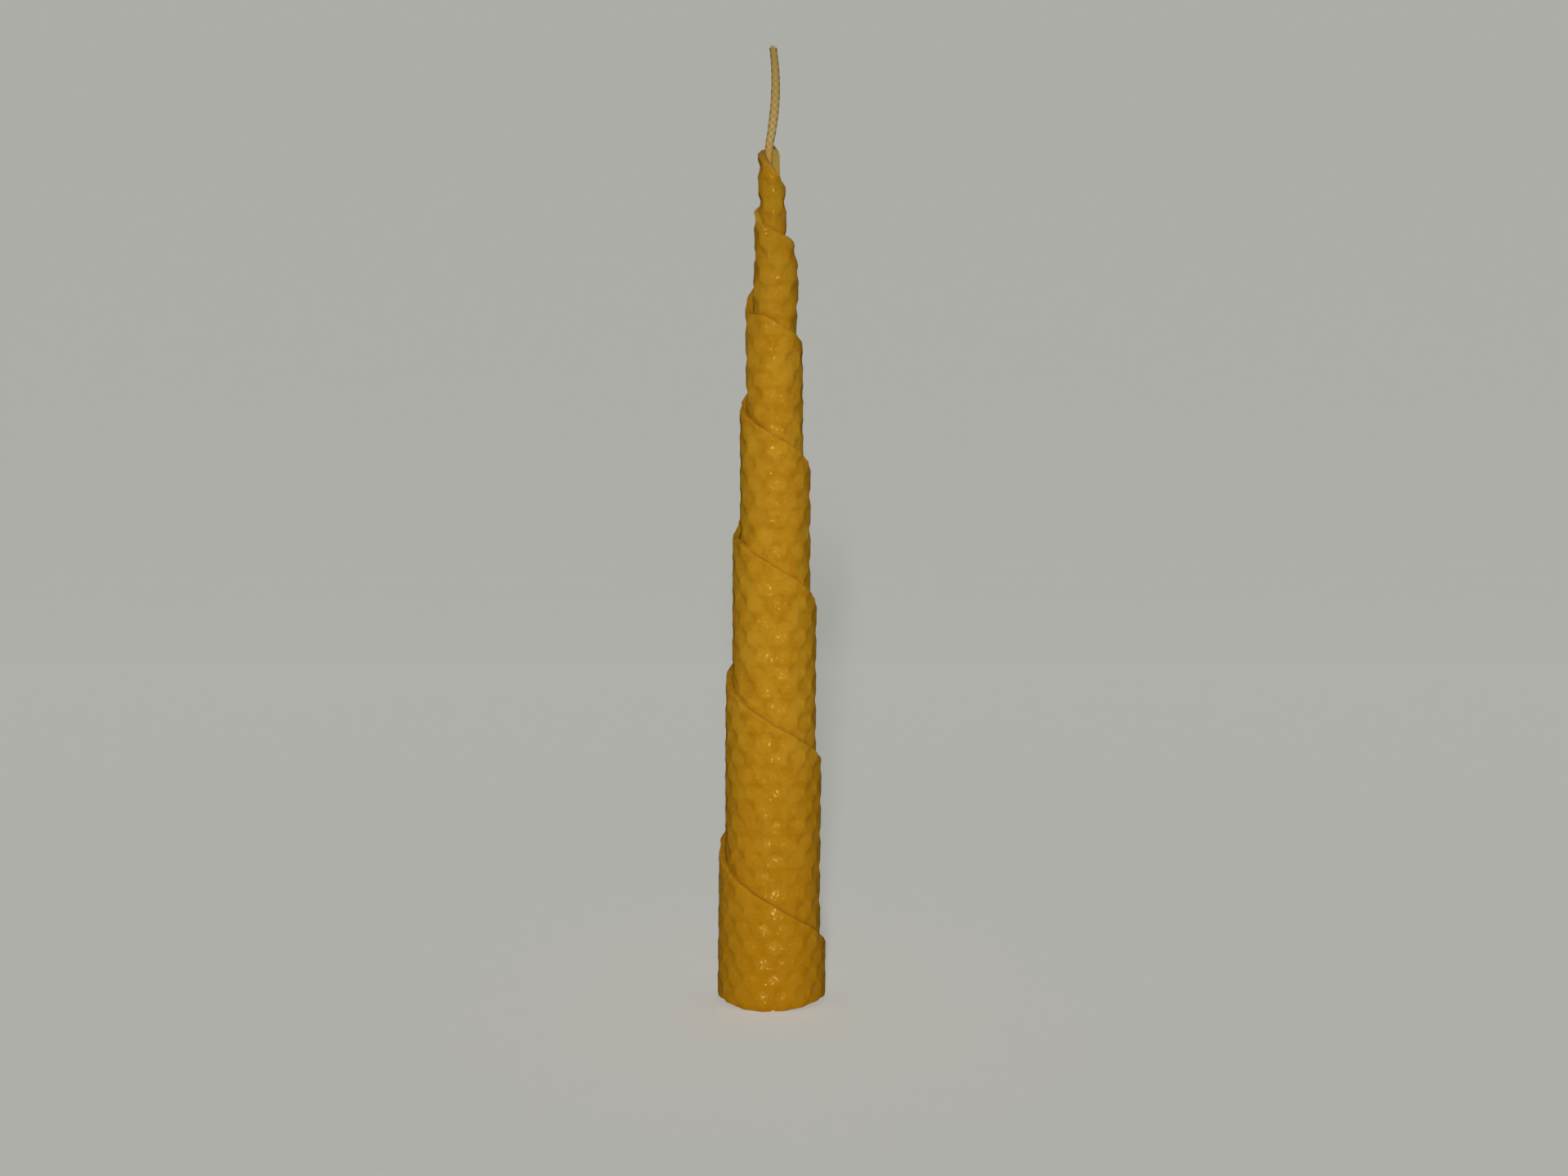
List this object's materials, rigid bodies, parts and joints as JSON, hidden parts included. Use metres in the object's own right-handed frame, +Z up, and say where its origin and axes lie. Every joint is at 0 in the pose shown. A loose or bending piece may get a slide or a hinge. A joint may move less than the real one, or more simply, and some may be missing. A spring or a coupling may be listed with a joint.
{
  "type": "rolled beeswax taper candle",
  "caption": "Tall free-standing cone candle: a honeycomb-embossed beeswax sheet with a slanting edge, rolled round a cotton wick so that the edge winds down it as a spiral.",
  "frame": {"origin": "on the wick's axis, in the plane that the candle stands on", "axes": "+Z up along the wick, -Y towards the viewer of the picture, +X to the viewer's right"},
  "size_m": [0.0297, 0.0304, 0.261],
  "materials": {
    "beeswax": "natural golden beeswax, satin, embossed with honeycomb",
    "cotton_wick": "braided cotton, primed with wax"
  },
  "bodies": {
    "root": {"wax_sheet": "beeswax", "wick": "cotton_wick"}
  },
  "joints": []
}
